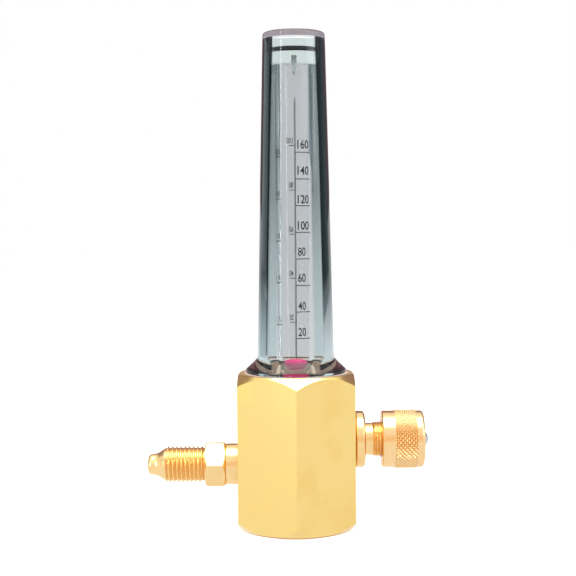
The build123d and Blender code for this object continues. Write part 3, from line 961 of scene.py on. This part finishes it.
# %% Clear plastic and glass
def clear(name, ior, tint, veil, inner, outer, start, full, sheen=(1, 1, 1)):
    """Refractive finish whose colour darkens in the side bands, as painted shade.

    A refracting surface would stop a lamp's light to what stands inside, so rays that only
    gather light pass it as if it were thin tinted air: shadow rays, diffuse ones, and those
    that were reflected, which are glossy without being transmitted.
    """
    material, tree = new_material(name)
    place = add(tree, "ShaderNodeTexCoord").outputs["Object"]
    rays = add(tree, "ShaderNodeLightPath").outputs
    band_feeds = {
        "Facing": add(tree, "ShaderNodeLayerWeight", {"Blend": 0.5}).outputs["Facing"],
        "Height": add(tree, "ShaderNodeSeparateXYZ", {0: place}).outputs[2],
        "Seen": rays["Is Camera Ray"],
        "Start": start,
        "Full": full,
        "Clear": (*tint, 1),
        "Veil": (*veil, 1),
        "Inner": (*inner, 1),
        "Outer": (*outer, 1),
    }
    band = add(tree, "ShaderNodeGroup", band_feeds, node_tree=painted_side_shade)
    feeds = {
        "Base Color": band.outputs[0],
        "Roughness": 0.0,
        "IOR": ior,
        "Transmission Weight": 1.0,
        "Specular Tint": (*sheen, 1),
    }
    shader = add(tree, "ShaderNodeBsdfPrincipled", feeds)
    thin = add(tree, "ShaderNodeBsdfTransparent", {"Color": (*(math.sqrt(v) for v in tint), 1)})
    gathering = maths(tree, "MAXIMUM", rays["Is Shadow Ray"], rays["Is Diffuse Ray"])
    reflected = maths(tree, "SUBTRACT", rays["Is Glossy Ray"], rays["Is Transmission Ray"])
    gathering = maths(tree, "MAXIMUM", gathering, reflected)
    way = {0: gathering, 1: shader.outputs[0], 2: thin.outputs[0]}
    finish_with(tree, add(tree, "ShaderNodeMixShader", way))
    return material


# veil, inner and outer are colours of painted shade: the veil and the two edges of the band.
cover_clear = clear(
    "cover_plastic",
    1.585,
    tint=(0.8, 0.82, 0.825),
    veil=(0.1, 0.13, 0.135),
    inner=(0.0002, 0.0005, 0.0006),
    outer=(0.002, 0.004, 0.005),
    start=0.3,
    full=0.335,
    sheen=(0.18, 0.21, 0.22),
)
tube_glass = clear(
    "tube_glass",
    1.5,
    tint=(0.87, 0.87, 0.885),
    veil=(0.6, 0.62, 0.62),
    inner=(0.3, 0.32, 0.32),
    outer=(0.35, 0.38, 0.38),
    start=0.34,
    full=0.38,
    sheen=(0.4, 0.4, 0.4),
)
print("clear finishes:", cover_clear.name, tube_glass.name)

# %% [markdown]
# The small finishes: rubber with a dull sheen, bright turned steel, grainy sintered bronze,
# the pale plug, the pink ball and the dark ink of the scale. Each has its own unevenness, so
# one recipe with a noise in it serves them all.

# %% Small finishes
SHINE_SPREAD = 0.05
GRAIN_DEPTH = 0.05 * MM


def plain_finish(name, colour, other, metallic, roughness, scale, bump, specular):
    """Finish between two near colours, mixed by noise that also moves shine and height."""
    material, tree = new_material(name)
    place = add(tree, "ShaderNodeTexCoord").outputs["Object"]
    noise = {"Vector": place, "Scale": scale, "Detail": 4.0}
    grain = add(tree, "ShaderNodeTexNoise", noise).outputs[0]
    feeds = {
        "Base Color": mixed(tree, grain, (*colour, 1), (*other, 1)),
        "Metallic": metallic,
        "Roughness": ramp(tree, grain, 0.0, 1.0, roughness - SHINE_SPREAD, roughness + SHINE_SPREAD),
        "Normal": bumped(tree, grain, bump, GRAIN_DEPTH),
        "Specular IOR Level": specular,
    }
    finish_with(tree, add(tree, "ShaderNodeBsdfPrincipled", feeds))
    return material


# name, colour, other colour, metallic, roughness, noise scale, bump, specular level
small_finishes = [
    ("ring_rubber", (0.006, 0.006, 0.007), (0.014, 0.014, 0.015), 0.0, 0.5, 600.0, 0.1, 0.15),
    ("stem_steel", (0.6, 0.62, 0.64), (0.5, 0.52, 0.55), 1.0, 0.28, 900.0, 0.05, 0.5),
    ("sintered_bronze", (0.62, 0.43, 0.24), (0.42, 0.27, 0.14), 1.0, 0.55, 3200.0, 1.0, 0.5),
    ("plug_plastic", (0.69, 0.75, 0.735), (0.66, 0.72, 0.705), 0.0, 0.4, 260.0, 0.08, 0.5),
    ("ball_plastic", (0.95, 0.06, 0.27), (0.88, 0.045, 0.22), 0.0, 0.16, 300.0, 0.03, 0.5),
    ("scale_ink", (0.006, 0.006, 0.009), (0.016, 0.016, 0.02), 0.0, 0.6, 900.0, 0.05, 0.1),
]
rubber, steel, sintered, plug_white, ball_pink, ink = [plain_finish(*row) for row in small_finishes]
print("small finishes:", ", ".join(row[0] for row in small_finishes))

# %% [markdown]
# The record names a slot for every part, and the slot names the finish. A new piece carries
# the slot of the part it stands for. Only the print has none, and gets its ink directly.

# %% Give every piece its finish
finish_of_slot = {
    **brass_of_slot,
    "sintered_bronze": sintered,
    "steel": steel,
    "cover_clear": cover_clear,
    "tube_glass": tube_glass,
    "float_pink": ball_pink,
    "plug_white": plug_white,
    "seal_rubber": rubber,
}
slot_of_node = {part["node"]: part["material_slot"] for part in frame["record"]["subparts"]}
finished = {name: (piece, finish_of_slot[slot_of_node[name]]) for name, piece in nodes.items()}
for piece in (cover, tube, plug_ring, outlet, bonnet):
    finished[piece.name] = (piece, finish_of_slot[piece["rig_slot"]])
finished[scale_print.name] = (scale_print, ink)
for piece, material in finished.values():
    piece.data.materials.clear()
    piece.data.materials.append(material)
print("pieces with a finish:", len(finished))

# %% [markdown]
# The picture has a pure white ground. The floor keeps the object's shadow, because it is an
# ordinary white surface, and it is lifted to white only for rays that show it: those from the
# camera and those that clear parts let through. Metal shows a floor of one even white.

# %% Floor
FLOOR_HALF = 2.5
FLOOR_LIFT = 0.62
FLOOR_IN_METAL = 1.0
FLOOR_PAINT = (0.8, 0.8, 0.8, 1)
floor_white, floor_tree = new_material("floor_white")
floor_rays = add(floor_tree, "ShaderNodeLightPath").outputs
floor_seen = maths(
    floor_tree, "MAXIMUM", floor_rays["Is Camera Ray"], floor_rays["Is Transmission Ray"]
)
floor_lift = maths(floor_tree, "MULTIPLY", floor_seen, FLOOR_LIFT)
floor_paint = add(floor_tree, "ShaderNodeBsdfDiffuse", {"Color": FLOOR_PAINT})
floor_glow = add(floor_tree, "ShaderNodeEmission", {"Color": WHITE, "Strength": floor_lift})
floor_sum = add(
    floor_tree, "ShaderNodeAddShader", {0: floor_paint.outputs[0], 1: floor_glow.outputs[0]}
)
floor_even = add(floor_tree, "ShaderNodeEmission", {"Color": WHITE, "Strength": FLOOR_IN_METAL})
floor_way = {0: floor_rays["Is Glossy Ray"], 1: floor_sum.outputs[0], 2: floor_even.outputs[0]}
finish_with(floor_tree, add(floor_tree, "ShaderNodeMixShader", floor_way))

floor_mesh = bpy.data.meshes.new("floor")
corners = FLOOR_HALF * np.array([[-1, -1, 0], [1, -1, 0], [1, 1, 0], [-1, 1, 0]])
floor_mesh.from_pydata(corners.tolist(), [], [[0, 1, 2, 3]])
floor = new_object("floor", floor_mesh)
floor_mesh.materials.append(floor_white)
print("floor", 2 * FLOOR_HALF, "m wide, lift", FLOOR_LIFT)

# %% [markdown]
# The world is treated as the floor is. It lights the object at a plain level, and it is pure
# white for every ray that shows it: from the camera, through clear parts and in reflections.

# %% World
WORLD_LIGHT = 0.6
world = bpy.data.worlds.new("studio")
bpy.context.scene.world = world
world.use_nodes = True
sky = world.node_tree
sky.nodes.clear()
sky_rays = add(sky, "ShaderNodeLightPath").outputs
sky_clear = maths(sky, "MAXIMUM", sky_rays["Is Camera Ray"], sky_rays["Is Transmission Ray"])
sky_seen = maths(sky, "MAXIMUM", sky_clear, sky_rays["Is Glossy Ray"])
sky_level = ramp(sky, sky_seen, 0.0, 1.0, WORLD_LIGHT, 1.0)
sky_glow = add(sky, "ShaderNodeBackground", {"Color": WHITE, "Strength": sky_level})
add(sky, "ShaderNodeOutputWorld", {0: sky_glow.outputs[0]})
print("world light", WORLD_LIGHT)

# %% [markdown]
# A metal object in an all-white room looks flat, because it has nothing dark to show. Curved
# cards that only reflections see give it that. The dark ones behind draw thin lines on upper
# edges and thread flanks, and brown the turned corners of the block. The warm one in front
# is a little dimmer than white, so round parts are deeper in tone along their middle. The
# near ones stand where the cover's side walls reflect them: two dim ones, a pale one, and
# below that a greyer one for the cover's foot.

# %% Cards that only reflections see
CARD_COLUMNS = 31
FAR, NEAR = 0.7, 0.68


def card(name, from_azimuth, to_azimuth, foot, head, colour, radius):
    """Upright curved card round Z between two azimuths, counted from +X, and two heights."""
    azimuth = np.radians(np.linspace(from_azimuth, to_azimuth, CARD_COLUMNS))
    ring = radius * np.stack([np.cos(azimuth), np.sin(azimuth), 0 * azimuth], axis=-1)
    points = np.concatenate([ring + [0, 0, foot], ring + [0, 0, head]])
    first = np.arange(len(ring) - 1)
    above = first + len(ring)
    mesh = bpy.data.meshes.new(name)
    faces = np.stack([first, above, above + 1, first + 1], axis=-1)
    mesh.from_pydata(points.tolist(), [], faces.tolist())
    material, tree = new_material(name)
    finish_with(tree, add(tree, "ShaderNodeEmission", {"Color": (*colour, 1), "Strength": 1.0}))
    mesh.materials.append(material)
    made = new_object(name, mesh)
    made.visible_camera = False
    made.visible_diffuse = False
    made.visible_transmission = False
    made.visible_shadow = False
    print(f"{name}: azimuth {from_azimuth} to {to_azimuth}, height {foot} to {head} m")


card("dark_card", 58, 122, 0.13, 0.62, (0.31, 0.19, 0.21), FAR)
card("dark_right", 15, 58, 0.13, 0.62, (0.31, 0.23, 0.26), FAR)
card("dark_left", 122, 165, 0.13, 0.62, (0.29, 0.22, 0.24), FAR)
card("right_card", 2, 42, 0.09, 0.3, (0.38, 0.46, 0.49), NEAR)
card("left_card", 168, 184, 0.062, 0.3, (0.2, 0.25, 0.27), NEAR)
card("pale_card", 134, 168, 0.1, 0.3, (1.1, 1.2, 1.22), NEAR)
card("pale_foot", 134, 168, 0.0, 0.1, (0.66, 0.74, 0.76), NEAR)
card("warm_card", -125, -55, 0.0, 0.3, (0.98, 0.78, 0.6), FAR)

# %% [markdown]
# Three soft lights: a wide one overhead, whose reflection is the white band along the top of
# the fittings, a tall narrow one on the left that draws the bright line down the cover, and a
# weak fill on the right. The Standard view shows white as white, without a film's curve.

# %% Lights
def soft_light(name, place, aim, width, height, power):
    """Rectangular lamp at a place, turned to shine at the aim."""
    lamp = bpy.data.lights.new(name, "AREA")
    lamp.shape = "RECTANGLE"
    lamp.size, lamp.size_y, lamp.energy = width, height, power
    holder = new_object(name, lamp)
    direction = Vector(aim) - Vector(place)
    turned_to = direction.to_track_quat("-Z", "Y").to_matrix().to_4x4()
    holder.matrix_world = Matrix.Translation(place) @ turned_to
    print(f"{name}: {power} W over {width} by {height} m")


AIM = (0, 0, 0.07)
soft_light("top_light", (0, -0.12, 0.75), AIM, 0.7, 0.5, 7.0)
soft_light("line_light", (-0.42, -0.38, 0.14), AIM, 0.03, 0.45, 0.85)
soft_light("fill_light", (0.6, -0.3, 0.4), AIM, 0.4, 0.4, 1.1)

bpy.context.scene.view_settings.view_transform = "Standard"
